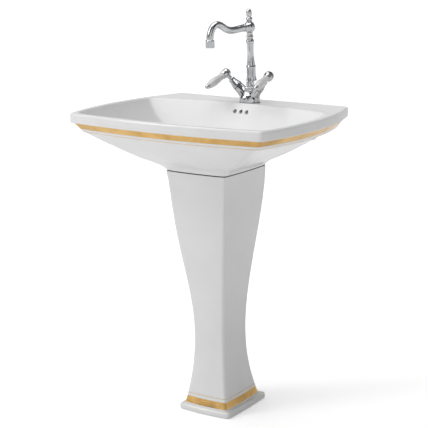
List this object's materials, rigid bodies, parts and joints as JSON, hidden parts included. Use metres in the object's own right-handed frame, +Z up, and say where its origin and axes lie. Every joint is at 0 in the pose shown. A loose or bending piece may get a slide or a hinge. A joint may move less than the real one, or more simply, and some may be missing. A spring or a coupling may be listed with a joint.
{
  "type": "pedestal wash basin",
  "caption": "Ceramic wash basin with bowed edges and gold bands on a waisted pedestal, with a swivel-spout tap, two lever handles, a pop-up waste and a bottle trap.",
  "frame": {"origin": "on the floor under the middle of the overall width and depth", "axes": "+Z up, +Y towards the wall, -Y towards the user, +X to the user's right"},
  "size_m": [0.6492, 0.534, 1.11],
  "materials": {
    "white_glaze": "gloss white glaze",
    "gold_lustre": "fired gold lustre",
    "chrome_plate": "polished chrome plate",
    "white_porcelain": "gloss white porcelain",
    "black_rubber": "matt rubber",
    "bare_brass": "turned brass",
    "steel": "drawn steel",
    "white_plastic": "moulded plastic"
  },
  "bodies": {
    "fixed": {"basin": "white_glaze", "basin_gold_band": "gold_lustre", "basin_gold_line": "gold_lustre", "pedestal": "white_glaze", "pedestal_gold_band": "gold_lustre", "pedestal_gold_line": "gold_lustre", "neck_gasket": "black_rubber", "tap_base_ring": "black_rubber", "tap_body": "chrome_plate", "tap_grub_screw": "steel", "tap_shank": "bare_brass", "tap_rubber_washer": "black_rubber", "tap_clamp_washer": "steel", "tap_backnut": "bare_brass", "column": "chrome_plate", "spout_post": "bare_brass", "finial": "chrome_plate", "left_cartridge": "bare_brass", "left_seal": "black_rubber", "left_bonnet": "chrome_plate", "right_cartridge": "bare_brass", "right_seal": "black_rubber", "right_bonnet": "chrome_plate", "waste_flange_seal": "black_rubber", "waste_body": "chrome_plate", "waste_rubber_washer": "black_rubber", "waste_locknut": "bare_brass", "pivot_nut": "chrome_plate", "waste_tail": "chrome_plate", "trap_body": "chrome_plate", "trap_inlet_nut": "chrome_plate", "trap_cup": "chrome_plate", "trap_cup_seal": "black_rubber", "trap_outlet_nut": "chrome_plate", "outlet_pipe": "chrome_plate"},
    "spout": {"spout_ball": "chrome_plate", "spout_tube": "chrome_plate", "spout_collar": "chrome_plate", "aerator_housing": "chrome_plate", "aerator_insert": "white_plastic"},
    "left_handle": {"left_spindle": "bare_brass", "left_hub": "chrome_plate", "left_cap": "chrome_plate", "left_lever": "white_porcelain", "left_tip": "chrome_plate", "left_tie_rod": "steel"},
    "right_handle": {"right_spindle": "bare_brass", "right_hub": "chrome_plate", "right_cap": "chrome_plate", "right_lever": "white_porcelain", "right_tip": "chrome_plate", "right_tie_rod": "steel"},
    "lift": {"lift_rod": "steel", "lift_knob": "chrome_plate", "clevis_strap": "steel", "strap_clamps": "steel"},
    "pivot": {"pivot_rod": "steel"},
    "plug": {"stopper": "chrome_plate", "stopper_seal": "black_rubber"}
  },
  "joints": [
    {"name": "spout_swivel", "type": "hinge", "parent": "fixed", "child": "spout", "pos_m": [0, 0.19474, 1.0587], "axis": [0, -0.0872, 0.9962], "range_deg": [-35, 85]},
    {"name": "left_handle_turn", "type": "hinge", "parent": "fixed", "child": "left_handle", "pos_m": [-0.0693, 0.18341, 0.92752], "axis": [0.7071, 0.1591, -0.689], "range_deg": [-12, 78]},
    {"name": "right_handle_turn", "type": "hinge", "parent": "fixed", "child": "right_handle", "pos_m": [0.0693, 0.18341, 0.92752], "axis": [0.7071, -0.1591, 0.689], "range_deg": [-5, 85]},
    {"name": "lift_rod_slide", "type": "slide", "parent": "fixed", "child": "lift", "axis": [0, 0, 1], "range_m": [0, 0.032]},
    {"name": "pivot_rod_rock", "type": "hinge", "parent": "fixed", "child": "pivot", "pos_m": [0, 0.05, 0.656], "axis": [1, 0, 0], "range_deg": [0, 13.6]},
    {"name": "stopper_drop", "type": "slide", "parent": "fixed", "child": "plug", "axis": [0, 0, -1], "range_m": [0, 0.0065]}
  ],
  "couplings": [
    {"joint": "pivot_rod_rock", "follows": "lift_rod_slide", "rad_per_m": 7.3795},
    {"joint": "stopper_drop", "follows": "lift_rod_slide", "ratio": 0.20062}
  ]
}
